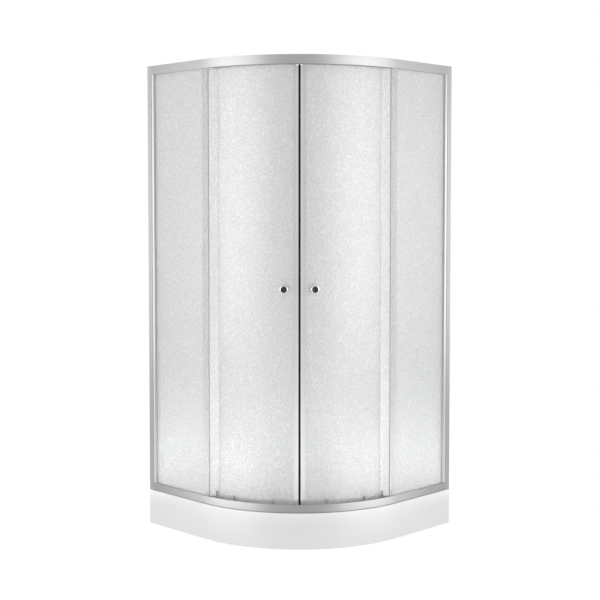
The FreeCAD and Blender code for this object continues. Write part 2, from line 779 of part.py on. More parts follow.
def drill_inner_side(body, which, depth):
    """Holes for the profile screws, from the face toward the inside of the cabin."""
    spots = [(half - profile_screw_reach, height) for height in profile_screw_heights]
    drill_side(body, which.across_plane, rail_depth - half, spots, screw_hole_radius, depth)


def post(which):
    """Hollow post that slides in the wall profile and takes the glass in a groove."""
    outer_face = profile_wall
    groove_low = fixed_depth - gasket_wall
    groove_high = fixed_inner + gasket_wall
    groove_floor = post_end - post_groove_depth
    outer = [
        (outer_face, post_start),
        (profile_inner, post_start),
        (profile_inner, post_end),
        (groove_high, post_end),
        (groove_high, groove_floor),
        (groove_low, groove_floor),
        (groove_low, post_end),
        (outer_face, post_end),
    ]
    loops = [[which.at(depth, reach) for depth, reach in outer]]
    loops.append(side_rectangle(which, *post_hollow))
    back_end = groove_floor - profile_wall
    loops.append(side_rectangle(which, groove_low, groove_high, post_start + profile_wall, back_end))
    body = extrude("Post", loops, bottom_rail_top, top_rail_start)
    drill_inner_side(body, which, profile_wall + profile_wall + overrun)
    return body


# Depths and reaches of the main hollow of a post
post_hollow = (
    fixed_inner + gasket_wall + profile_wall,
    profile_inner - profile_wall,
    post_start + profile_wall,
    post_end - profile_wall,
)
for which in sides:
    node("wall_profile_" + which.name, wall_profile(which))
    node("post_" + which.name, post(which))


def profile_cap(which):
    """Cap on the wall profile with a lug inside it."""
    plan = side_rectangle(which, ZERO, rail_depth, ZERO, profile_width)
    body = extrude("ProfileCap", [plan], profile_top, total_height)
    lug = side_rectangle(which, profile_wall, profile_inner, profile_web, profile_width)
    add_block(body, lug, profile_top - cap_lug, profile_top)
    return body


def top_plug(which):
    """Plug in the head of the post that takes the rail screw."""
    plan = side_rectangle(which, *post_hollow)
    body = extrude("TopPlug", [plan], top_rail_start - plug_length, top_rail_start)
    x, y = which.at(rail_screw_depth, rail_screw_reach)
    drill_down(body, x, y, screw_hole_radius, top_rail_start, screw_length)
    return body


def bottom_plug(which):
    """Plug that stands in the trough of the bottom rail and fits into the post."""
    foot_end = post_end - profile_wall
    foot = side_rectangle(which, channel_start, channel_end, profile_width, foot_end)
    body = extrude("BottomPlug", [foot], bottom_web_top, bottom_rail_top)
    spigot = side_rectangle(which, *post_hollow)
    add_block(body, spigot, bottom_rail_top, bottom_rail_top + plug_length)
    return body


node("profile_caps", *[profile_cap(which) for which in sides])
node("post_plugs", *[top_plug(which) for which in sides], *[bottom_plug(which) for which in sides])


def screw(length):
    """Pan-head screw, head up."""
    section = [
        (ZERO, -length),
        (screw_radius, -length),
        (screw_radius, ZERO),
        (screw_head_radius, ZERO),
        (screw_head_radius, screw_head_height),
        (ZERO, screw_head_height),
    ]
    return turned("Screw", section, "Z")


# Screws that join rail to post from above and wall profile to post from inside
screws = []
for which in sides:
    x, y = which.at(rail_screw_depth, rail_screw_reach)
    screws.append(place(screw(screw_length), x, y, ledge_top))
    for height in profile_screw_heights:
        if which.name == "left":
            item = lay(screw(screw_short_length), FreeCAD.Vector(0, 1, 0), 1)
        else:
            item = lay(screw(screw_short_length), FreeCAD.Vector(1, 0, 0), -1)
        x, y = which.at(rail_depth, profile_screw_reach)
        screws.append(place(item, x, y, height))
node("frame_screws", *screws)

# Fixed glass: flat panes set in both rails and in the post
groove_floor = post_end - post_groove_depth
fixed_start = groove_floor + gasket_floor
fixed_end = straight_length + fixed_overlap
fixed_bottom = bottom_web_top + block_height
fixed_top = roof - fixed_top_gap
block_far = straight_length - block_end_gap - block_length
bumper_reach = straight_length - bumper_back
gaskets = []
setting_blocks = []
fixed_seals = []
bumpers = []
for which in sides:
    plan = side_rectangle(which, fixed_depth, fixed_inner, fixed_start, fixed_end)
    node("fixed_glass_" + which.name, extrude("FixedGlass", [plan], fixed_bottom, fixed_top))

    # Black gasket round the glass edge in the post
    gasket_end = post_end + gasket_show
    gasket_low = fixed_depth - gasket_wall
    gasket_high = fixed_inner + gasket_wall
    gasket_loop = [
        (gasket_low, groove_floor),
        (gasket_high, groove_floor),
        (gasket_high, gasket_end),
        (fixed_inner, gasket_end),
        (fixed_inner, fixed_start),
        (fixed_depth, fixed_start),
        (fixed_depth, gasket_end),
        (gasket_low, gasket_end),
    ]
    plan = [which.at(depth, reach) for depth, reach in gasket_loop]
    gaskets.append(extrude("GlazingGasket", [plan], bottom_rail_top, top_rail_start))

    # Setting blocks that carry the glass in the bottom rail
    for reach in (block_near, block_far):
        plan = side_rectangle(which, rail_wall, groove_end, reach, reach + block_length)
        setting_blocks.append(extrude("SettingBlock", [plan], bottom_web_top, fixed_bottom))

    # Clear seal on the free edge of the glass with a fin toward the door
    seal_low = fixed_depth - seal_wall
    seal_high = fixed_inner + seal_wall
    grip_start = fixed_end - seal_grip
    seal_close = fixed_end + seal_fin
    seal_loop = [
        (seal_low, grip_start),
        (fixed_depth, grip_start),
        (fixed_depth, fixed_end),
        (fixed_inner, fixed_end),
        (fixed_inner, grip_start),
        (seal_high, grip_start),
        (seal_high, fixed_end),
        (fixed_fin_depth, fixed_end),
        (fixed_fin_depth, seal_close),
        (seal_low, seal_close),
    ]
    plan = [which.at(depth, reach) for depth, reach in seal_loop]
    fixed_seals.append(extrude("FixedSeal", [plan], fixed_seal_start, seal_end))

    # Rubber bumper in the roller channel that ends the door's run
    bumper_end = bumper_reach + bumper_length
    plan = side_rectangle(which, channel_start, channel_end, bumper_reach, bumper_end)
    bumpers.append(extrude("Bumper", [plan], ledge_top, ledge_top + bumper_height))
node("glazing_gaskets", *gaskets)
node("setting_blocks", *setting_blocks)
node("fixed_seals", *fixed_seals)
node("door_bumpers", *bumpers)


# Leading edge of the door glass, a seat gap behind the bottom of its clip
door_lead_angle = (lead_edge + seat_gap) / radius_at(door_inner) * radian


def bored(which, angle, height, radius):
    """Round bar across the door glass where a hole goes."""
    section = rectangle(radius_at(door_inner + overrun), radius_at(door_depth - overrun), ZERO, radius)
    return place_on_bend(turned("GlassHole", section, "X"), which.turn(angle), height)


def door_glass(which):
    """Curved pane with holes for two roller bolts and the knob."""
    body = new_body("DoorPane")
    sketch = new_sketch(body, "XZ_Plane")
    glass_top = total_height - door_top_gap
    inner, outer = radius_at(door_inner), radius_at(door_depth)
    draw_loop(sketch, rectangle(inner, outer, door_bottom, glass_top))
    spin(body, sketch, "V_Axis")
    body.Tip.Midplane = True
    bind(body.Tip, "Angle", door_trail_angle - door_lead_angle)
    middle = (door_trail_angle + door_lead_angle) / 2
    place_on_bend(body, which.turn(middle), ZERO)
    holes = [bored(which, angle, top_axle, glass_hole_radius) for angle in (near_angle, far_angle)]
    holes.append(bored(which, knob_angle, knob_height, glass_hole_radius))
    return cut("DoorGlass", body, holes)


def along_bend(which, loop):
    """Plan outline near a door edge: distance from the bend centre and distance along."""
    return [(distance, which.sign * along) for distance, along in loop]


def closing_seal(which):
    """Clear clip on the leading edge that carries the magnet strip."""
    outer = radius_at(door_depth) + seal_slack / 2
    inner = radius_at(door_inner) - seal_slack - seal_slack / 2
    grip_end = lead_edge + seal_grip
    loop = [
        (inner - seal_wall, magnet_gap + magnet_width),
        (outer + seal_wall, magnet_gap + magnet_width),
        (outer + seal_wall, grip_end),
        (outer, grip_end),
        (outer, lead_edge),
        (inner, lead_edge),
        (inner, grip_end),
        (inner - seal_wall, grip_end),
    ]
    body = extrude("ClosingSeal", [along_bend(which, loop)], door_seal_start, seal_end)
    return place_on_bend(body, which.turn(ZERO), ZERO)


def magnet_strip(which):
    """Black magnet strip on the nose of the closing seal."""
    outer = radius_at(door_depth) + seal_slack / 2 + seal_wall
    inner = radius_at(door_inner) - seal_slack - seal_slack / 2 - seal_wall
    loop = rectangle(inner, outer, magnet_gap, magnet_gap + magnet_width)
    body = extrude("MagnetStrip", [along_bend(which, loop)], door_seal_start, seal_end)
    return place_on_bend(body, which.turn(ZERO), ZERO)


def trailing_seal(which):
    """Clear clip on the trailing edge with a fin toward the fixed glass."""
    outer = radius_at(door_depth) + seal_slack / 2
    inner = radius_at(door_inner) - seal_slack - seal_slack / 2
    close = seal_slack / 2 + seal_fin
    loop = [
        (inner - seal_wall, -seal_grip),
        (inner, -seal_grip),
        (inner, seal_slack / 2),
        (outer, seal_slack / 2),
        (outer, -seal_grip),
        (outer + seal_wall, -seal_grip),
        (outer + seal_wall, seal_slack / 2),
        (radius_at(trail_fin_depth), seal_slack / 2),
        (radius_at(trail_fin_depth), close),
        (inner - seal_wall, close),
    ]
    body = extrude("TrailingSeal", [along_bend(which, loop)], door_seal_start, seal_end)
    return place_on_bend(body, which.turn(door_trail_angle), ZERO)


def knob_outer(which):
    """Round outer knob with the stud that goes through the glass."""
    base = radius_at(door_depth - seat_gap - washer_thickness)
    head = base + knob_neck_length
    face = base + knob_length
    section = [
        (base - knob_stud_length, ZERO),
        (base - knob_stud_length, knob_stud_radius),
        (base, knob_stud_radius),
        (base, knob_neck_radius),
        (head, knob_neck_radius),
        (head, knob_radius),
        (face - knob_edge, knob_radius),
        (face, knob_radius - knob_edge),
        (face, knob_dish_radius),
        (face - knob_dish, ZERO),
    ]
    return place_on_bend(turned("KnobOuter", section, "X"), which.turn(knob_angle), knob_height)


def knob_inner(which):
    """Round inner knob screwed onto the stud."""
    base = radius_at(door_inner + seat_gap + washer_thickness)
    head = base - knob_neck_length
    face = base - knob_length
    bore = knob_stud_radius + run_gap
    stud_end = radius_at(door_depth - seat_gap - washer_thickness) - knob_stud_length
    section = [
        (base, bore),
        (base, knob_neck_radius),
        (head, knob_neck_radius),
        (head, knob_radius),
        (face + knob_edge, knob_radius),
        (face, knob_radius - knob_edge),
        (face, ZERO),
        (stud_end - overrun, ZERO),
        (stud_end - overrun, bore),
    ]
    return place_on_bend(turned("KnobInner", section, "X"), which.turn(knob_angle), knob_height)


def knob_washer(which, depth):
    """Soft washer between a knob and the glass."""
    inner = knob_stud_radius + run_gap
    section = rectangle(radius_at(depth + washer_thickness), radius_at(depth), inner, knob_neck_radius)
    return place_on_bend(turned("KnobWasher", section, "X"), which.turn(knob_angle), knob_height)


def wheel(which, angle, height, radius, shaft_radius, head_radius):
    """Plain roller with a recess for the head of its bolt."""
    outer = radius_at(wheel_depth)
    inner = radius_at(wheel_depth + wheel_width)
    step = outer - wheel_recess
    bore = shaft_radius + run_gap
    section = [
        (inner, bore),
        (inner, radius - wheel_crown),
        (inner + wheel_crown, radius),
        (outer - wheel_crown, radius),
        (outer, radius - wheel_crown),
        (outer, head_radius + run_gap),
        (step, head_radius + run_gap),
        (step, bore),
    ]
    return place_on_bend(turned("Wheel", section, "X"), which.turn(angle), height)


def roller_bolt(which, angle):
    """Bolt that carries an upper roller and clamps the glass against its sleeve."""
    step = radius_at(wheel_depth + wheel_recess) + run_gap
    sleeve = radius_at(wheel_depth + wheel_width) - run_gap
    glass_face = radius_at(door_depth - seat_gap)
    tail = radius_at(door_inner + seat_gap) - bolt_tail
    section = [
        (tail, ZERO),
        (tail, bolt_radius),
        (glass_face, bolt_radius),
        (glass_face, bolt_shoulder_radius),
        (sleeve, bolt_shoulder_radius),
        (sleeve, bolt_radius),
        (step, bolt_radius),
        (step, bolt_head_radius),
        (step + bolt_head_height, bolt_head_radius),
        (step + bolt_head_height, ZERO),
    ]
    return place_on_bend(turned("RollerBolt", section, "X"), which.turn(angle), top_axle)


def roller_cap(which, angle):
    """Cap nut on the roller bolt, inside the cabin."""
    base = radius_at(door_inner + seat_gap)
    bore = bolt_radius + run_gap
    section = [
        (base, bore),
        (base, cap_nut_radius),
        (base - cap_nut_height + cap_nut_round, cap_nut_radius),
        (base - cap_nut_height, cap_nut_radius - cap_nut_round),
        (base - cap_nut_height, ZERO),
        (base - bolt_tail - run_gap, ZERO),
        (base - bolt_tail - run_gap, bore),
    ]
    return place_on_bend(turned("RollerCap", section, "X"), which.turn(angle), top_axle)


plunger_centre = radius_at(guide_foot_depth + guide_foot_length / 2)
plunger_top = guide_axle + guide_foot_above + plunger_length
bore_top = housing_start + housing_height - housing_roof


def guide_carrier(which, angle):
    """Sprung guide: axle under the glass, fin before it, foot and plunger behind it."""
    step = radius_at(wheel_depth + wheel_recess) + run_gap
    section = [
        (plunger_centre, ZERO),
        (plunger_centre, axle_radius),
        (step, axle_radius),
        (step, axle_head_radius),
        (step + bolt_head_height, axle_head_radius),
        (step + bolt_head_height, ZERO),
    ]
    body = turned("GuideCarrier", section, "X")
    fin_outer = radius_at(guide_fin_depth)
    fin_inner = fin_outer - guide_fin_thickness
    fin = rectangle(fin_inner, fin_outer, -guide_fin_half_width, guide_fin_half_width)
    add_block(body, fin, ZERO, guide_fin_height)
    foot_outer = radius_at(guide_foot_depth)
    foot_inner = foot_outer - guide_foot_length
    foot = rectangle(foot_inner, foot_outer, -guide_foot_half_width, guide_foot_half_width)
    add_block(body, foot, -guide_foot_below, guide_foot_above)
    plunger = new_sketch(body, "XY_Plane", guide_foot_above)
    draw_circle(plunger, plunger_centre, ZERO, plunger_radius)
    pad(body, plunger, plunger_length)
    return place_on_bend(body, which.turn(angle), guide_axle)


def guide_housing(which, angle):
    """Block bonded to the inner face of the glass, bored from below for the plunger."""
    outer = radius_at(door_inner + seat_gap)
    plan = rectangle(outer - housing_length, outer, -housing_half_width, housing_half_width)
    body = extrude("GuideHousing", [plan], ZERO, housing_height)
    bore = new_sketch(body, "XY_Plane")
    draw_circle(bore, plunger_centre, ZERO, plunger_radius + run_gap)
    pocket(body, bore, housing_height - housing_roof, True)
    return place_on_bend(body, which.turn(angle), housing_start)


def guide_spring(which, angle):
    """Coil spring between the plunger and the roof of its bore."""
    free_height = bore_top - plunger_top - spring_wire - spring_wire
    body = new_body("GuideSpring")
    wire = new_sketch(body, "XZ_Plane")
    inner, outer = spring_radius - spring_wire, spring_radius + spring_wire
    draw_loop(wire, rectangle(inner, outer, -spring_wire, spring_wire))
    coil = body.newObject("PartDesign::AdditiveHelix", "GuideSpringCoil")
    coil.Profile = wire
    coil.ReferenceAxis = (wire, ["V_Axis"])
    bind(coil, "Height", free_height)
    bind(coil, "Pitch", free_height / spring_turns)
    seat = doc.addObject("Part::Compound", "SpringSeat")
    seat.Links = [place(body, plunger_centre, ZERO, ZERO)]
    return place_on_bend(seat, which.turn(angle), plunger_top + spring_wire)


# Doors: a pane with its seals, knobs and rollers for each side
for which in sides:
    name = "_" + which.name
    spots = (("near", near_angle), ("far", far_angle))
    node("door_glass" + name, door_glass(which))
    node("closing_seal" + name, closing_seal(which))
    node("magnet_strip" + name, magnet_strip(which))
    node("trailing_seal" + name, trailing_seal(which))
    node("knob_outer" + name, knob_outer(which))
    node("knob_inner" + name, knob_inner(which))
    outer_washer = knob_washer(which, door_depth - seat_gap - washer_thickness)
    inner_washer = knob_washer(which, door_inner + seat_gap)
    node("knob_washers" + name, outer_washer, inner_washer)
    node("roller_bolts" + name, *[roller_bolt(which, angle) for spot, angle in spots])
    node("roller_caps" + name, *[roller_cap(which, angle) for spot, angle in spots])
    node("guide_housings" + name, *[guide_housing(which, angle) for spot, angle in spots])
    for spot, angle in spots:
        tail = name + "_" + spot
        upper = wheel(which, angle, top_axle, top_wheel_radius, bolt_radius, bolt_head_radius)
        node("roller" + tail, upper)
        node("guide_carrier" + tail, guide_carrier(which, angle))
        lower = wheel(which, angle, guide_axle, guide_wheel_radius, axle_radius, axle_head_radius)
        node("guide_wheel" + tail, lower)
        node("guide_spring" + tail, guide_spring(which, angle))

doc.recompute()

# Every piece must be sound before any file is written
for item in doc.Objects:
    if "Invalid" in item.State or "Error" in item.State:
        raise RuntimeError(f"{item.Label} did not rebuild: {item.State}")
for piece in nodes:
    if piece.Shape.isNull() or not piece.Shape.isValid() or not piece.Shape.Solids:
        raise RuntimeError(f"{piece.Label} is not a sound solid")

os.makedirs("parts", exist_ok=True)
for piece in nodes:
    piece.Shape.exportStep(f"parts/{piece.Label}.step")
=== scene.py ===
import math
import bmesh
import bpy
from mathutils import Matrix, Vector


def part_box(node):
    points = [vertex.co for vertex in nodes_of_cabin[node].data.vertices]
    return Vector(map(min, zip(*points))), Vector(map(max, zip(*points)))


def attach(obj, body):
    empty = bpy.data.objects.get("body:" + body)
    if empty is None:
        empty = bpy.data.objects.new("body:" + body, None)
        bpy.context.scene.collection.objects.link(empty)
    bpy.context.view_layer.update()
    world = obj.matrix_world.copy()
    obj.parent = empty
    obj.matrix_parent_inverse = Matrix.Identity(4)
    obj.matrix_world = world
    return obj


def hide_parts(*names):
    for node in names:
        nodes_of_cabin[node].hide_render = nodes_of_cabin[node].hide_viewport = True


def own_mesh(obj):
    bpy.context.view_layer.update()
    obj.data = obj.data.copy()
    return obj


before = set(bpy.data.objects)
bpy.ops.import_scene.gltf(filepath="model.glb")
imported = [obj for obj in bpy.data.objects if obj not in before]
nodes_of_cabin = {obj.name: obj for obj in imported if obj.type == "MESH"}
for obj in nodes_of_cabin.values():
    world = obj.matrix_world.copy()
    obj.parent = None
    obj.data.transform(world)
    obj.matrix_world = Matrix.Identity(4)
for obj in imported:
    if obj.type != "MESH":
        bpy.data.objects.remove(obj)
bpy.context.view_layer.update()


# Shower tray: one sheet of white sanitary acrylic, warmed and drawn into a mould, with a deep
# skirt, a rounded rim and a sunk pan. It stands on the floor and carries everything above it.
def new_group(name, inputs, outputs):
    """Empty shader group with named number or vector sockets."""
    group = bpy.data.node_groups.new(name, "ShaderNodeTree")
    kinds = {"number": "NodeSocketFloat", "vector": "NodeSocketVector"}
    for direction, sockets in (("INPUT", inputs), ("OUTPUT", outputs)):
        for socket, kind in sockets:
            group.interface.new_socket(name=socket, in_out=direction, socket_type=kinds[kind])
    start = group.nodes.new("NodeGroupInput")
    end = group.nodes.new("NodeGroupOutput")
    return group, start, end


surface_grain, grain_in, grain_out = new_group(
    "surface_grain",
    [
        ("Place", "vector"), ("Scale", "number"), ("Smoothest", "number"), ("Roughest", "number"),
        ("Relief", "number"),
    ],
    [("Shade", "number"), ("Roughness", "number"), ("Normal", "vector")],
)
grain_noise = surface_grain.nodes.new("ShaderNodeTexNoise")
grain_noise.inputs["Detail"].default_value = 4.0
grain_range = surface_grain.nodes.new("ShaderNodeMapRange")
grain_range.inputs["From Min"].default_value = 0.25
grain_range.inputs["From Max"].default_value = 0.75
grain_bump = surface_grain.nodes.new("ShaderNodeBump")
grain_bump.inputs["Strength"].default_value = 1.0
for start, end in (
    (grain_in.outputs["Place"], grain_noise.inputs["Vector"]),
    (grain_in.outputs["Scale"], grain_noise.inputs["Scale"]),
    (grain_noise.outputs["Fac"], grain_range.inputs["Value"]),
    (grain_in.outputs["Smoothest"], grain_range.inputs["To Min"]),
    (grain_in.outputs["Roughest"], grain_range.inputs["To Max"]),
    (grain_noise.outputs["Fac"], grain_bump.inputs["Height"]),
    (grain_in.outputs["Relief"], grain_bump.inputs["Distance"]),
    (grain_noise.outputs["Fac"], grain_out.inputs["Shade"]),
    (grain_range.outputs["Result"], grain_out.inputs["Roughness"]),
    (grain_bump.outputs["Normal"], grain_out.inputs["Normal"]),
):
    surface_grain.links.new(start, end)


def blend_of(tree, factor, low, high):
    """Colour that drifts between two tints with a factor."""
    blend = tree.nodes.new("ShaderNodeMix")
    blend.data_type = "RGBA"
    blend.inputs["A"].default_value = (*low, 1.0)
    blend.inputs["B"].default_value = (*high, 1.0)
    tree.links.new(factor, blend.inputs["Factor"])
    return blend.outputs["Result"]


def grained(name, low, high, roughness, scale, relief, stretch=(1.0, 1.0, 1.0), **settings):
    """Material whose tint, roughness and fine relief drift over the surface."""
    material = bpy.data.materials.new(name)
    material.use_nodes = True
    tree = material.node_tree
    shader = tree.nodes["Principled BSDF"]
    place = tree.nodes.new("ShaderNodeTexCoord")
    spread = tree.nodes.new("ShaderNodeMapping")
    spread.inputs["Scale"].default_value = stretch
    grain = tree.nodes.new("ShaderNodeGroup")
    grain.node_tree = surface_grain
    grain.inputs["Scale"].default_value = scale
    grain.inputs["Smoothest"].default_value = roughness[0]
    grain.inputs["Roughest"].default_value = roughness[1]
    grain.inputs["Relief"].default_value = relief
    tree.links.new(place.outputs["Object"], spread.inputs["Vector"])
    tree.links.new(spread.outputs["Vector"], grain.inputs["Place"])
    tree.links.new(blend_of(tree, grain.outputs["Shade"], low, high), shader.inputs["Base Color"])
    tree.links.new(grain.outputs["Roughness"], shader.inputs["Roughness"])
    tree.links.new(grain.outputs["Normal"], shader.inputs["Normal"])
    for socket, value in settings.items():
        shader.inputs[socket.replace("_", " ")].default_value = value
    return material


def dress(material, *names):
    """Give CAD nodes their finished material."""
    for name in names:
        nodes_of_cabin[name].data.materials[0] = material


tray_acrylic = grained(
    "tray_acrylic", (0.80, 0.786, 0.791), (0.84, 0.826, 0.831),
    roughness=(0.3, 0.4), scale=9.0, relief=0.0004,
    Coat_Weight=1.0, Coat_IOR=1.7, Coat_Roughness=0.4,
)
dress(tray_acrylic, "tray")


# Base board: pressed wood board glued under the pan floor to stiffen it, cut open round the
# trap. Its sawn face stays raw under the tray.
base_board = grained(
    "base_board", (0.42, 0.29, 0.17), (0.62, 0.47, 0.30),
    roughness=(0.75, 0.92), scale=70.0, relief=0.0008, stretch=(1.0, 0.25, 1.0),
)
dress(base_board, "tray_base_board")


# Frame and feet: two zinc plated square tubes welded as a cross, with five screwed feet and
# hexagon lock nuts that set the tray level.
zinc_tube = grained(
    "zinc_tube", (0.44, 0.46, 0.48), (0.62, 0.64, 0.66),
    roughness=(0.32, 0.5), scale=45.0, relief=0.0003, Metallic=1.0,
)
dress(zinc_tube, "tray_frame")
zinc_feet = grained(
    "zinc_feet", (0.46, 0.47, 0.47), (0.66, 0.66, 0.64),
    roughness=(0.3, 0.46), scale=900.0, relief=0.0004, stretch=(0.02, 0.02, 1.0), Metallic=1.0,
)
dress(zinc_feet, "levelling_feet")
zinc_nuts = grained(
    "zinc_nuts", (0.50, 0.50, 0.47), (0.70, 0.69, 0.64),
    roughness=(0.28, 0.44), scale=160.0, relief=0.0002, Metallic=1.0,
)
dress(zinc_nuts, "foot_lock_nuts")


# Drain: moulded white flange on the pan floor, black rubber gasket and grey trap below it, and
# a loose domed cover in polished chrome that lifts out for cleaning.
drain_plastic = grained(
    "drain_plastic", (0.78, 0.78, 0.77), (0.84, 0.84, 0.83),
    roughness=(0.2, 0.32), scale=120.0, relief=0.0001,
)
dress(drain_plastic, "drain_flange")
drain_rubber = grained(
    "drain_rubber", (0.015, 0.015, 0.016), (0.035, 0.035, 0.036),
    roughness=(0.6, 0.78), scale=220.0, relief=0.0002,
)
dress(drain_rubber, "drain_gasket")
trap_plastic = grained(
    "trap_plastic", (0.60, 0.60, 0.58), (0.68, 0.68, 0.66),
    roughness=(0.36, 0.5), scale=150.0, relief=0.0002,
)
dress(trap_plastic, "drain_trap")
drain_chrome = grained(
    "drain_chrome", (0.74, 0.74, 0.75), (0.82, 0.82, 0.83),
    roughness=(0.06, 0.12), scale=90.0, relief=0.00005, Metallic=1.0,
)
dress(drain_chrome, "drain_cover")


# Rails: drawn aluminium sections bent round the front, satin anodised in silver grey, with fine
# die lines along their length, and a lighter, less metallic tint inside their channels that is
# painted light against the shade there. A near black line along the foot of the bottom rail is a
# painted shadow where it sits on the tray rim, and the top rail closes the frame.
bend_middle = Vector((0.1, 0.1, 0.0))
bend_radius = 0.55
edge_break = 0.0004
weld_reach = 0.00001
flat_turn = math.radians(0.4)
sharp_turn = math.radians(40.0)


def piece_from(shape, name, *finishes):
    """Object made from a finished shape, with its materials."""
    mesh = bpy.data.meshes.new(name)
    shape.to_mesh(mesh)
    shape.free()
    for finish in finishes:
        mesh.materials.append(finish)
    piece = bpy.data.objects.new(name, mesh)
    bpy.context.scene.collection.objects.link(piece)
    return piece


def softened(name, body, finish):
    """Merged copy of a solid with its sharp edges broken, standing in for that solid."""
    shape = bmesh.new()
    shape.from_mesh(nodes_of_cabin[name].data)
    bmesh.ops.remove_doubles(shape, verts=shape.verts, dist=weld_reach)
    bmesh.ops.dissolve_limit(shape, angle_limit=flat_turn, verts=shape.verts, edges=shape.edges)
    sharp = [edge for edge in shape.edges if edge.is_manifold and edge.calc_face_angle() > sharp_turn]
    bmesh.ops.bevel(
        shape, geom=sharp, offset=edge_break, offset_type="OFFSET", segments=2, profile=0.5,
        affect="EDGES", clamp_overlap=True, material=-1,
    )
    for face in shape.faces:
        face.smooth = True
    piece = piece_from(shape, name + "_finish", finish)
    if "custom_normal" in piece.data.attributes:
        piece.data.attributes.remove(piece.data.attributes["custom_normal"])
    evened = piece.modifiers.new("even_shading", "WEIGHTED_NORMAL")
    evened.keep_sharp = False
    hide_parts(name)
    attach(piece, body)


def fade_of(tree, value, start, width, first, last):
    """Mask that goes from a first to a last value over a short width."""
    fade = tree.nodes.new("ShaderNodeMapRange")
    fade.inputs["From Min"].default_value = start
    fade.inputs["From Max"].default_value = start + width
    fade.inputs["To Min"].default_value = first
    fade.inputs["To Max"].default_value = last
    tree.links.new(value, fade.inputs["Value"])
    return fade.outputs["Result"]


def sum_of(tree, operation, one, other):
    """Sum worked out from two values of a surface."""
    step = tree.nodes.new("ShaderNodeMath")
    step.operation = operation
    tree.links.new(one, step.inputs[0])
    tree.links.new(other, step.inputs[1])
    return step.outputs["Value"]


def retint(tree, mask, tint):
    """Another tint on a material where a mask says so."""
    shader = tree.nodes["Principled BSDF"]
    blend = tree.nodes.new("ShaderNodeMix")
    blend.data_type = "RGBA"
    blend.inputs["B"].default_value = (*tint, 1.0)
    tree.links.new(mask, blend.inputs["Factor"])
    tree.links.new(shader.inputs["Base Color"].links[0].from_socket, blend.inputs["A"])
    tree.links.new(blend.outputs["Result"], shader.inputs["Base Color"])


def painted_shadow_line(material, level, width, tint):
    """Thin painted shadow line of another tint along a level edge."""
    tree = material.node_tree
    place = tree.nodes.new("ShaderNodeTexCoord")
    split = tree.nodes.new("ShaderNodeSeparateXYZ")
    tree.links.new(place.outputs["Object"], split.inputs["Vector"])
    retint(tree, fade_of(tree, split.outputs["Z"], level, width, 1.0, 0.0), tint)


rail_wall = 0.0016
wall_fade = 0.0006
level_fade = 0.0004
# Mask of the inside of a bent rail, between its front wall and its back, that carries painted light.
rail_inside, inside_in, inside_out = new_group(
    "rail_inside",
    [("Place", "vector"), ("Lowest", "number"), ("Highest", "number")],
    [("Inside", "number"), ("Outside", "number")],
)
inside_split = rail_inside.nodes.new("ShaderNodeSeparateXYZ")
from_middle = rail_inside.nodes.new("ShaderNodeVectorMath")
from_middle.operation = "SUBTRACT"
from_middle.inputs[1].default_value = bend_middle
across_bend = rail_inside.nodes.new("ShaderNodeVectorMath")
across_bend.operation = "MINIMUM"
across_bend.inputs[1].default_value = (0.0, 0.0, 0.0)
bend_reach = rail_inside.nodes.new("ShaderNodeVectorMath")
bend_reach.operation = "LENGTH"
left_over = rail_inside.nodes.new("ShaderNodeMath")
left_over.operation = "SUBTRACT"
left_over.inputs[0].default_value = 1.0
for start, end in (
    (inside_in.outputs["Place"], inside_split.inputs["Vector"]),
    (inside_in.outputs["Place"], from_middle.inputs[0]),
    (from_middle.outputs["Vector"], across_bend.inputs[0]),
    (across_bend.outputs["Vector"], bend_reach.inputs[0]),
):
    rail_inside.links.new(start, end)
over_lowest = sum_of(rail_inside, "SUBTRACT", inside_split.outputs["Z"], inside_in.outputs["Lowest"])
over_highest = sum_of(rail_inside, "SUBTRACT", inside_split.outputs["Z"], inside_in.outputs["Highest"])
above = fade_of(rail_inside, over_lowest, 0.0, level_fade, 0.0, 1.0)
below = fade_of(rail_inside, over_highest, 0.0, level_fade, 1.0, 0.0)
behind = fade_of(rail_inside, bend_reach.outputs["Value"], bend_radius - rail_wall, wall_fade, 1.0, 0.0)
between = sum_of(rail_inside, "MULTIPLY", above, below)
inside = sum_of(rail_inside, "MULTIPLY", between, behind)
rail_inside.links.new(inside, left_over.inputs[1])
rail_inside.links.new(inside, inside_out.inputs["Inside"])
rail_inside.links.new(left_over.outputs["Value"], inside_out.inputs["Outside"])


def painted_light_inside(material, lowest, highest):
    """Painted light: a lighter, less metallic tint between the front wall and the back of a bent rail,
    against the shade there.
    """
    tree = material.node_tree
    place = tree.nodes.new("ShaderNodeTexCoord")
    painted_light_node = tree.nodes.new("ShaderNodeGroup")
    painted_light_node.node_tree = rail_inside
    painted_light_node.inputs["Lowest"].default_value = lowest
    painted_light_node.inputs["Highest"].default_value = highest
    tree.links.new(place.outputs["Object"], painted_light_node.inputs["Place"])
    tree.links.new(painted_light_node.outputs["Outside"], tree.nodes["Principled BSDF"].inputs["Metallic"])
    retint(tree, painted_light_node.outputs["Inside"], (0.90, 0.90, 0.90))


def silver_grey(name, low, high, stretch):
    """Satin anodised aluminium with die lines along its length."""
    return grained(
        name, (low,) * 3, (high,) * 3,
        roughness=(0.36, 0.44), scale=700.0, relief=0.00004, stretch=stretch, Metallic=1.0,
    )


lines_along_rail = (0.01, 0.01, 1.0)
bottom_rail_grey = silver_grey("bottom_rail_grey", 0.30, 0.35, lines_along_rail)
# Painted shadow: a near black line along the foot of the bottom rail, where it sits on the tray rim.
painted_shadow_line(bottom_rail_grey, level=0.1450, width=0.0022, tint=(0.03, 0.03, 0.03))
painted_light_inside(bottom_rail_grey, lowest=0.1470, highest=0.1760)
softened("bottom_rail", "cabin", bottom_rail_grey)
top_rail_grey = silver_grey("top_rail_grey", 0.315, 0.365, lines_along_rail)
painted_light_inside(top_rail_grey, lowest=1.8950, highest=1.9280)
softened("top_rail", "cabin", top_rail_grey)


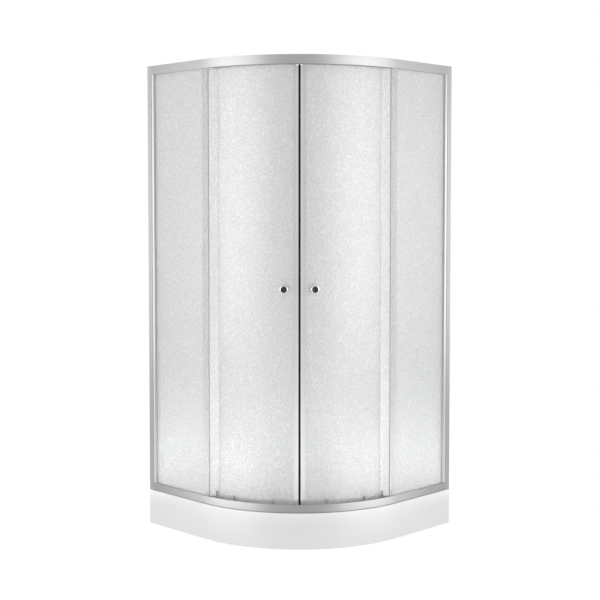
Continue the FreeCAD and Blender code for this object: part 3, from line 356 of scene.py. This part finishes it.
# Wall profiles and posts: upright aluminium channels screwed to the room walls, and brighter
# posts that slide in them to make up for a wall that leans. Plastic caps and plugs close them.
lines_along_post = (1.0, 1.0, 0.01)
# Painted light: the uprights take a lighter tint of the rails' anodised aluminium, for the light that
# they catch.
upright_grey_lit = silver_grey("upright_grey_lit", 0.34, 0.40, lines_along_post)
bright_post = grained(
    "bright_post", (0.60, 0.60, 0.60), (0.66, 0.66, 0.66),
    roughness=(0.26, 0.34), scale=700.0, relief=0.00003, stretch=lines_along_post, Metallic=1.0,
)
for side in ("left", "right"):
    softened(f"wall_profile_{side}", "cabin", upright_grey_lit)
    softened(f"post_{side}", "cabin", bright_post)
cap_plastic = grained(
    "cap_plastic", (0.40, 0.40, 0.41), (0.48, 0.48, 0.49),
    roughness=(0.36, 0.5), scale=300.0, relief=0.0001,
)
dress(cap_plastic, "profile_caps")
plug_plastic = grained(
    "plug_plastic", (0.035, 0.035, 0.037), (0.06, 0.06, 0.062),
    roughness=(0.45, 0.6), scale=300.0, relief=0.0001,
)
dress(plug_plastic, "post_plugs")
screw_steel = grained(
    "screw_steel", (0.56, 0.56, 0.56), (0.72, 0.72, 0.72),
    roughness=(0.2, 0.34), scale=900.0, relief=0.00004, Metallic=1.0,
)
dress(screw_steel, "frame_screws")


# Fixed glass: flat toughened panes, frosted with a fine crinkle on the outer face. They stand on
# rubber blocks in the bottom rail and are held in the posts by a dark gasket. A drawn clear seal
# grips each free edge, with a slanted lip that reaches across to the door glass.
glass_crinkle, crinkle_in, crinkle_out = new_group(
    "glass_crinkle",
    [("Place", "vector"), ("Scale", "number"), ("Relief", "number")],
    [("Shade", "number"), ("Normal", "vector")],
)
wander_reach = 0.02
wander = glass_crinkle.nodes.new("ShaderNodeTexNoise")
wander.inputs["Scale"].default_value = 60.0
wander.inputs["Detail"].default_value = 2.0
wandered = glass_crinkle.nodes.new("ShaderNodeVectorMath")
wandered.operation = "MULTIPLY_ADD"
wandered.inputs[1].default_value = (wander_reach, wander_reach, wander_reach)
cells = glass_crinkle.nodes.new("ShaderNodeTexVoronoi")
crinkle_bump = glass_crinkle.nodes.new("ShaderNodeBump")
crinkle_bump.inputs["Strength"].default_value = 1.0
for start, end in (
    (crinkle_in.outputs["Place"], wander.inputs["Vector"]),
    (wander.outputs["Color"], wandered.inputs[0]),
    (crinkle_in.outputs["Place"], wandered.inputs[2]),
    (wandered.outputs["Vector"], cells.inputs["Vector"]),
    (crinkle_in.outputs["Scale"], cells.inputs["Scale"]),
    (cells.outputs["Distance"], crinkle_bump.inputs["Height"]),
    (crinkle_in.outputs["Relief"], crinkle_bump.inputs["Distance"]),
    (cells.outputs["Distance"], crinkle_out.inputs["Shade"]),
    (crinkle_bump.outputs["Normal"], crinkle_out.inputs["Normal"]),
):
    glass_crinkle.links.new(start, end)


def crinkled(name, low, high, clear, ior=1.5, coat_ior=1.75):
    """Frosted face with a fine crinkle that breaks up the light."""
    material = bpy.data.materials.new(name)
    material.use_nodes = True
    tree = material.node_tree
    shader = tree.nodes["Principled BSDF"]
    place = tree.nodes.new("ShaderNodeTexCoord")
    crinkle = tree.nodes.new("ShaderNodeGroup")
    crinkle.node_tree = glass_crinkle
    crinkle.inputs["Scale"].default_value = 150.0
    crinkle.inputs["Relief"].default_value = 0.0022
    tree.links.new(place.outputs["Object"], crinkle.inputs["Place"])
    tree.links.new(blend_of(tree, crinkle.outputs["Shade"], low, high), shader.inputs["Base Color"])
    tree.links.new(crinkle.outputs["Normal"], shader.inputs["Normal"])
    shader.inputs["Roughness"].default_value = 0.36
    shader.inputs["IOR"].default_value = ior
    shader.inputs["Transmission Weight"].default_value = clear
    shader.inputs["Specular IOR Level"].default_value = 1.0
    shader.inputs["Coat Weight"].default_value = 1.0
    shader.inputs["Coat IOR"].default_value = coat_ior
    shader.inputs["Coat Roughness"].default_value = 0.38
    return material


def lets_light_by(material, share):
    """Shadow of a see-through piece, lightened by the light that it lets by."""
    tree = material.node_tree
    ray = tree.nodes.new("ShaderNodeLightPath")
    way = tree.nodes.new("ShaderNodeBsdfTransparent")
    way.inputs["Color"].default_value = (share, share, share, 1.0)
    choice = tree.nodes.new("ShaderNodeMixShader")
    tree.links.new(ray.outputs["Is Shadow Ray"], choice.inputs["Fac"])
    tree.links.new(tree.nodes["Principled BSDF"].outputs["BSDF"], choice.inputs[1])
    tree.links.new(way.outputs["BSDF"], choice.inputs[2])
    tree.links.new(choice.outputs["Shader"], tree.nodes["Material Output"].inputs["Surface"])


# Painted shade: the panes take a tint a little darker than the door glass, though both are the same
# frosted glass, to offset the light they let by.
pane_glass_shaded = crinkled("pane_glass_shaded", (0.475, 0.495, 0.485), (0.80, 0.81, 0.805), clear=0.65)
lets_light_by(pane_glass_shaded, 0.75)
dress(pane_glass_shaded, "fixed_glass_left", "fixed_glass_right")
gasket_rubber = grained(
    "gasket_rubber", (0.36, 0.36, 0.36), (0.42, 0.42, 0.42),
    roughness=(0.5, 0.65), scale=400.0, relief=0.0001,
)
dress(gasket_rubber, "glazing_gaskets")
block_rubber = grained(
    "block_rubber", (0.02, 0.02, 0.02), (0.04, 0.04, 0.04),
    roughness=(0.65, 0.8), scale=300.0, relief=0.0002,
)
dress(block_rubber, "setting_blocks")
lines_along_seal = (1.0, 1.0, 0.05)
clear_seal = grained(
    "clear_seal", (0.93, 0.945, 0.94), (0.96, 0.975, 0.97),
    roughness=(0.2, 0.3), scale=60.0, relief=0.0002, stretch=lines_along_seal,
    Alpha=0.15, Specular_IOR_Level=1.0, Coat_Weight=1.0, Coat_IOR=1.75, Coat_Roughness=0.3,
)
seal_edge = grained(
    "seal_edge", (0.46, 0.47, 0.465), (0.54, 0.55, 0.545),
    roughness=(0.3, 0.4), scale=60.0, relief=0.0001, stretch=lines_along_seal,
)
seal_wiper = crinkled(
    "seal_wiper", (0.36, 0.38, 0.37), (0.67, 0.68, 0.675), clear=0.0, ior=2.2, coat_ior=2.0,
)
seal_finishes = (clear_seal, seal_edge, seal_wiper)
for finish in seal_finishes:
    lets_light_by(finish, 0.9)
edge_slot = seal_finishes.index(seal_edge)
wiper_slot = seal_finishes.index(seal_wiper)

# Plan of the left seal: the clip round the pane's edge with the root of the lip, and the lip's
# feathered end, 0.3 mm off the door glass. The lip starts above the guides, the clip at the rail.
clip_section = (
    (-0.4470, 0.0688), (-0.4470, 0.0820), (-0.4460, 0.0820), (-0.4460, 0.0700),
    (-0.4410, 0.0700), (-0.4410, 0.0820), (-0.4400, 0.0820), (-0.4400, 0.06874),
    (-0.42386, 0.05260), (-0.42443, 0.05203), (-0.4412, 0.0688),
)
root_back = 8
root_front = 9
lip_section = ((-0.41588, 0.04462), (-0.41562, 0.04262))
seal_gap = 0.0005
seal_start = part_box("bottom_rail")[1][2] + seal_gap
seal_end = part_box("top_rail")[0][2] - seal_gap
lip_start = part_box("fixed_seals")[0][2]
front = math.radians(225.0)
toward_front = Vector((math.cos(front), math.sin(front), 0.0))
square_on = 0.95


def draw_out(shape, feet, rise):
    """Draw flat feet out to another level."""
    drawn = bmesh.ops.extrude_face_region(shape, geom=feet)["geom"]
    ends = [part for part in drawn if isinstance(part, bmesh.types.BMVert)]
    bmesh.ops.translate(shape, verts=ends, vec=(0.0, 0.0, rise))


seals = bmesh.new()
clip_ring = [seals.verts.new((x, y, lip_start)) for x, y in clip_section]
lip_ring = [seals.verts.new((x, y, lip_start)) for x, y in lip_section]
clip_foot = seals.faces.new(clip_ring)
lip_foot = seals.faces.new((clip_ring[root_front], clip_ring[root_back], *lip_ring))
draw_out(seals, [clip_foot, lip_foot], seal_end - lip_start)
draw_out(seals, [clip_foot], seal_start - lip_start)
bmesh.ops.delete(seals, geom=[clip_foot], context="FACES_ONLY")
bmesh.ops.recalc_face_normals(seals, faces=seals.faces)
for face in seals.faces:
    if face.normal.dot(toward_front) > square_on:
        face.material_index = wiper_slot
    elif face.normal.y < -square_on:
        face.material_index = edge_slot
other_side = bmesh.ops.duplicate(seals, geom=[*seals.verts, *seals.edges, *seals.faces])["geom"]
swapped = Matrix(((0.0, 1.0, 0.0), (1.0, 0.0, 0.0), (0.0, 0.0, 1.0)))
for part in other_side:
    if isinstance(part, bmesh.types.BMVert):
        part.co = swapped @ part.co
seals.normal_update()
bmesh.ops.recalc_face_normals(seals, faces=seals.faces)
seal_piece = piece_from(seals, "fixed_seal_wipers", *seal_finishes)
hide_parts("fixed_seals")
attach(seal_piece, "cabin")


# Doors: curved frosted panes hung on rollers. Clear clips grip both upright edges, and the
# leading clips carry black magnet strips, whose rounded noses meet in the middle of the front.
frosted_glass = crinkled("frosted_glass", (0.50, 0.52, 0.51), (0.84, 0.85, 0.845), clear=0.65)
dress(frosted_glass, "door_glass_left", "door_glass_right")
milky_seal = grained(
    "milky_seal", (0.84, 0.86, 0.855), (0.92, 0.94, 0.935),
    roughness=(0.2, 0.3), scale=60.0, relief=0.0002, stretch=lines_along_seal, Alpha=0.85,
)
dress(milky_seal, "trailing_seal_left", "trailing_seal_right")
clear_clip = grained(
    "clear_clip", (0.72, 0.74, 0.735), (0.80, 0.82, 0.815),
    roughness=(0.3, 0.4), scale=60.0, relief=0.0002, stretch=lines_along_seal,
    Transmission_Weight=0.4, IOR=1.45, Specular_IOR_Level=1.0,
    Coat_Weight=1.0, Coat_IOR=1.75, Coat_Roughness=0.3,
)
dress(clear_clip, "closing_seal_left", "closing_seal_right")
magnet_rubber = grained(
    "magnet_rubber", (0.002, 0.002, 0.002), (0.005, 0.005, 0.005),
    roughness=(0.55, 0.7), scale=350.0, relief=0.0001, stretch=(1.0, 1.0, 0.1),
    Specular_IOR_Level=0.05,
)
nose_depth = 0.0082
nose_width = 0.00428
nose_reach = 0.5157
nose_aside = 0.00216
nose_round = 0.0006
upright_least = 1.0
turn_to_front = Matrix.Rotation(front, 3, "Z")
for side, hand in (("left", -1.0), ("right", 1.0)):
    nose_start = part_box(f"magnet_strip_{side}")[0][2]
    nose_middle = (nose_start + seal_end) / 2.0
    strip = bmesh.new()
    bmesh.ops.create_cube(strip, size=1.0)
    bmesh.ops.scale(strip, verts=strip.verts, vec=(nose_depth, nose_width, seal_end - nose_start))
    bmesh.ops.translate(strip, verts=strip.verts, vec=(nose_reach, hand * nose_aside, nose_middle))
    nose = [
        edge for edge in strip.edges
        if all(vert.co.x > nose_reach for vert in edge.verts) and edge.calc_length() > upright_least
    ]
    bmesh.ops.bevel(
        strip, geom=nose, offset=nose_round, segments=3, profile=0.5, affect="EDGES", material=-1,
    )
    bmesh.ops.rotate(strip, verts=strip.verts, cent=(0.0, 0.0, 0.0), matrix=turn_to_front)
    bmesh.ops.translate(strip, verts=strip.verts, vec=bend_middle)
    strip_piece = piece_from(strip, f"magnet_nose_{side}", magnet_rubber)
    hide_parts(f"magnet_strip_{side}")
    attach(strip_piece, f"{side}_door")


# Knobs: turned brass knobs in polished chrome, one on each face of the glass, drawn together by
# a stud with a soft washer on both faces. Each has a shallow dish in its end, tinted near black
# as a painted dark reflection.
knob_chrome = grained(
    "knob_chrome", (0.74, 0.74, 0.75), (0.80, 0.80, 0.81),
    roughness=(0.05, 0.09), scale=80.0, relief=0.00004, Metallic=1.0,
)
# Painted reflection: the dish is tinted near black, standing for the chrome mirroring a dark room.
knob_dish = grained(
    "knob_dish", (0.03, 0.03, 0.032), (0.06, 0.06, 0.063),
    roughness=(0.08, 0.14), scale=80.0, relief=0.00004, Metallic=1.0,
)
knob_height = 1.022
knob_turn = math.radians(6.45)
rim_turn = math.radians(30.0)
rim_round = 0.0012
dish_depth = 0.0035
dish_slot = 1


def turned_knob(name, node, body, heading, profile):
    """Knob turned about the line from the bend centre through the glass, in two finishes."""
    knob = bmesh.new()
    points = [knob.verts.new((along, 0.0, reach)) for along, reach in profile]
    lines = [knob.edges.new(pair) for pair in zip(points[:-1], points[1:])]
    bmesh.ops.spin(
        knob, geom=points + lines, cent=(0.0, 0.0, 0.0), axis=(1.0, 0.0, 0.0),
        angle=math.radians(360.0), steps=64, use_merge=True,
    )
    bmesh.ops.remove_doubles(knob, verts=knob.verts, dist=weld_reach)
    bmesh.ops.recalc_face_normals(knob, faces=knob.faces)
    rims = [edge for edge in knob.edges if edge.is_manifold and edge.calc_face_angle() > rim_turn]
    bmesh.ops.bevel(
        knob, geom=rims, offset=rim_round, segments=4, profile=0.5, affect="EDGES",
        clamp_overlap=True, material=-1,
    )
    dish_start, dish_reach = profile[-3]
    for face in knob.faces:
        face.smooth = True
        middle = face.calc_center_median()
        if math.hypot(middle.y, middle.z) < dish_reach and abs(middle.x - dish_start) < dish_depth:
            face.material_index = dish_slot
    turn = Matrix.Rotation(heading, 3, "Z")
    bmesh.ops.rotate(knob, verts=knob.verts, cent=(0.0, 0.0, 0.0), matrix=turn)
    bmesh.ops.translate(knob, verts=knob.verts, vec=bend_middle + Vector((0.0, 0.0, knob_height)))
    piece = piece_from(knob, name, knob_chrome, knob_dish)
    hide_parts(node)
    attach(piece, body)


outer_profile = (
    (0.50365, 0.0), (0.50365, 0.003), (0.51965, 0.003), (0.51965, 0.009), (0.52565, 0.009),
    (0.52565, 0.016), (0.54565, 0.016), (0.54765, 0.014), (0.54765, 0.0128), (0.54615, 0.006),
    (0.54565, 0.0),
)
inner_profile = (
    (0.5123, 0.0), (0.5123, 0.009), (0.5063, 0.009), (0.5063, 0.016), (0.4863, 0.016),
    (0.4843, 0.014), (0.4843, 0.0128), (0.4858, 0.006), (0.4863, 0.0),
)
for side, hand in (("left", -1.0), ("right", 1.0)):
    heading = front + hand * knob_turn
    turned_knob(f"knob_front_{side}", f"knob_outer_{side}", f"{side}_door", heading, outer_profile)
    turned_knob(f"knob_back_{side}", f"knob_inner_{side}", f"{side}_door", heading, inner_profile)
knob_washer = grained(
    "knob_washer", (0.58, 0.58, 0.57), (0.66, 0.66, 0.65),
    roughness=(0.4, 0.5), scale=300.0, relief=0.0001, Transmission_Weight=0.3,
)
dress(knob_washer, "knob_washers_left", "knob_washers_right")


# Rollers and guides: acetal wheels on steel bolts above, and below sprung plastic guides that
# unhook the door for cleaning, whose steel coils close up as a guide lifts. Rubber bumpers in
# the top rail end the door's run.
cap_chrome = grained(
    "cap_chrome", (0.74, 0.74, 0.75), (0.80, 0.80, 0.81),
    roughness=(0.06, 0.12), scale=90.0, relief=0.00004, Metallic=1.0,
)
guide_plastic = grained(
    "guide_plastic", (0.66, 0.66, 0.67), (0.74, 0.74, 0.75),
    roughness=(0.22, 0.34), scale=200.0, relief=0.0001,
)
carrier_plastic = grained(
    "carrier_plastic", (0.50, 0.50, 0.505), (0.58, 0.58, 0.585),
    roughness=(0.36, 0.5), scale=250.0, relief=0.0001,
)
wheel_plastic = grained(
    "wheel_plastic", (0.74, 0.74, 0.72), (0.80, 0.80, 0.78),
    roughness=(0.3, 0.42), scale=250.0, relief=0.0001,
)
spring_steel = grained(
    "spring_steel", (0.50, 0.50, 0.50), (0.66, 0.66, 0.66),
    roughness=(0.2, 0.34), scale=500.0, relief=0.00003, Metallic=1.0,
)
wire_weld_reach = 0.000001
for door in ("left", "right"):
    bolt_steel = grained(
        f"bolt_steel_{door}", (0.58, 0.58, 0.58), (0.74, 0.74, 0.74),
        roughness=(0.18, 0.3), scale=600.0, relief=0.00004, Metallic=1.0,
    )
    dress(bolt_steel, f"roller_bolts_{door}")
    dress(cap_chrome, f"roller_caps_{door}")
    dress(guide_plastic, f"guide_housings_{door}")
    for spot in ("near", "far"):
        dress(wheel_plastic, f"roller_{door}_{spot}", f"guide_wheel_{door}_{spot}")
        dress(carrier_plastic, f"guide_carrier_{door}_{spot}")
        coil = bmesh.new()
        coil.from_mesh(nodes_of_cabin[f"guide_spring_{door}_{spot}"].data)
        bmesh.ops.remove_doubles(coil, verts=coil.verts, dist=wire_weld_reach)
        coil_piece = piece_from(coil, f"guide_coil_{door}_{spot}", spring_steel)
        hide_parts(f"guide_spring_{door}_{spot}")
        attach(coil_piece, f"{door}_door")
        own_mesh(coil_piece)
bumper_rubber = grained(
    "bumper_rubber", (0.02, 0.02, 0.02), (0.04, 0.04, 0.04),
    roughness=(0.6, 0.75), scale=300.0, relief=0.0002,
)
dress(bumper_rubber, "door_bumpers")


# Studio floor: a plain white sweep of painted board under the cabin, lit so evenly that it meets
# the backdrop without a line. It keeps the cabin's shadow and is no piece of it.
floor_reach = 30.0
floor_level = -0.0005
floor_shape = bmesh.new()
bmesh.ops.create_circle(floor_shape, cap_ends=True, segments=96, radius=floor_reach)
bmesh.ops.translate(floor_shape, verts=floor_shape.verts, vec=(0.0, 0.0, floor_level))
floor_white = bpy.data.materials.new("floor_white")
floor_white.use_nodes = True
floor_tree = floor_white.node_tree
floor_tree.nodes.remove(floor_tree.nodes["Principled BSDF"])
floor_paint = floor_tree.nodes.new("ShaderNodeBsdfDiffuse")
floor_paint.inputs["Color"].default_value = (0.88, 0.88, 0.88, 1.0)
floor_glow = floor_tree.nodes.new("ShaderNodeEmission")
floor_glow.inputs["Strength"].default_value = 1.05
floor_mix = floor_tree.nodes.new("ShaderNodeMixShader")
floor_mix.inputs["Fac"].default_value = 0.9
floor_tree.links.new(floor_paint.outputs["BSDF"], floor_mix.inputs[1])
floor_tree.links.new(floor_glow.outputs["Emission"], floor_mix.inputs[2])
floor_tree.links.new(floor_mix.outputs["Shader"], floor_tree.nodes["Material Output"].inputs["Surface"])
floor = piece_from(floor_shape, "studio_floor", floor_white)


# Studio light: a white backdrop that metal and glass show too, two tall softboxes beside the
# camera for the two halves of the bend, floor and side cards that show only in reflections, and
# low strips in front that lift the foot of the glass.
world = bpy.data.worlds.new("studio")
bpy.context.scene.world = world
world.use_nodes = True
sky = world.node_tree
backdrop = sky.nodes["Background"]
backdrop.inputs["Color"].default_value = (1.0, 1.0, 1.0, 1.0)
backdrop.inputs["Strength"].default_value = 1.0
room = sky.nodes.new("ShaderNodeBackground")
room.inputs["Color"].default_value = (1.0, 1.0, 1.0, 1.0)
room.inputs["Strength"].default_value = 0.68
ray = sky.nodes.new("ShaderNodeLightPath")
seen = sky.nodes.new("ShaderNodeMath")
seen.operation = "MAXIMUM"
shown = sky.nodes.new("ShaderNodeMath")
shown.operation = "MAXIMUM"
choose = sky.nodes.new("ShaderNodeMixShader")
sky.links.new(ray.outputs["Is Camera Ray"], seen.inputs[0])
sky.links.new(ray.outputs["Is Transmission Ray"], seen.inputs[1])
sky.links.new(seen.outputs["Value"], shown.inputs[0])
sky.links.new(ray.outputs["Is Glossy Ray"], shown.inputs[1])
sky.links.new(shown.outputs["Value"], choose.inputs["Fac"])
sky.links.new(room.outputs["Background"], choose.inputs[1])
sky.links.new(backdrop.outputs["Background"], choose.inputs[2])
sky.links.new(choose.outputs["Shader"], sky.nodes["World Output"].inputs["Surface"])


def area_lamp(name, place, target, width, height, energy, spread):
    """Soft rectangular lamp that the camera doesn't see."""
    lamp = bpy.data.lights.new(name, "AREA")
    lamp.shape = "RECTANGLE"
    lamp.size = width
    lamp.size_y = height
    lamp.energy = energy
    lamp.spread = math.radians(spread)
    holder = bpy.data.objects.new(name, lamp)
    holder.location = place
    holder.rotation_euler = (target - place).to_track_quat("-Z", "Y").to_euler()
    holder.visible_camera = False
    bpy.context.scene.collection.objects.link(holder)
    return holder


def from_bend(turn, reach, level):
    """Point at a turn from the front and a reach from the bend centre."""
    heading = front + math.radians(turn)
    return bend_middle + Vector((math.cos(heading) * reach, math.sin(heading) * reach, level))


for side, hand, turn, width, energy, card_energy in (
    ("left", -1.0, 53.0, 2.0, 9.6, 0.5),
    ("right", 1.0, 50.0, 2.2, 10.7, 1.0),
):
    softbox = area_lamp(
        f"softbox_{side}",
        place=from_bend(turn=hand * turn, reach=2.0, level=1.42),
        target=from_bend(turn=hand * 28.0, reach=bend_radius, level=1.42),
        width=width, height=1.7, energy=energy, spread=100.0,
    )
    floor_card = area_lamp(
        f"floor_card_{side}",
        place=from_bend(turn=hand * 47.0, reach=1.15, level=0.02),
        target=from_bend(turn=hand * 32.0, reach=bend_radius, level=0.16),
        width=1.0, height=0.5, energy=3.3, spread=140.0,
    )
    side_card = area_lamp(
        f"side_card_{side}",
        place=from_bend(turn=hand * 90.0, reach=2.3, level=1.2),
        target=from_bend(turn=hand * 52.0, reach=0.66, level=1.2),
        width=1.6, height=1.4, energy=card_energy, spread=100.0,
    )
    for reflected in (softbox, floor_card, side_card):
        reflected.visible_diffuse = False
strip_lights = ((-70.0, 0.40), (-35.0, 0.16), (0.0, 0.46), (35.0, 0.16), (70.0, 0.40))
for number, (turn, energy) in enumerate(strip_lights):
    low_strip = area_lamp(
        f"low_strip_{number}",
        place=from_bend(turn, reach=0.98, level=0.03),
        target=from_bend(turn, reach=bend_radius, level=0.43),
        width=0.5, height=0.06, energy=energy, spread=66.0,
    )
    low_strip.visible_glossy = False


# Camera: at chest height in front of the middle of the bend, a little tipped and shifted down so
# that the whole cabin is in view and its uprights stay close to parallel.
camera_tip = 2.926
camera_data = bpy.data.cameras.new("camera")
camera_data.lens = 71.62
camera_data.sensor_width = 36.0
camera_data.shift_x = 0.00078
camera_data.shift_y = -0.05
camera = bpy.data.objects.new("camera", camera_data)
camera.location = (-3.5571, -3.5571, 1.3351)
camera.rotation_euler = (math.radians(90.0 - camera_tip), 0.0, math.radians(-45.0))
bpy.context.scene.collection.objects.link(camera)
bpy.context.scene.camera = camera
bpy.context.scene.view_settings.view_transform = "Standard"
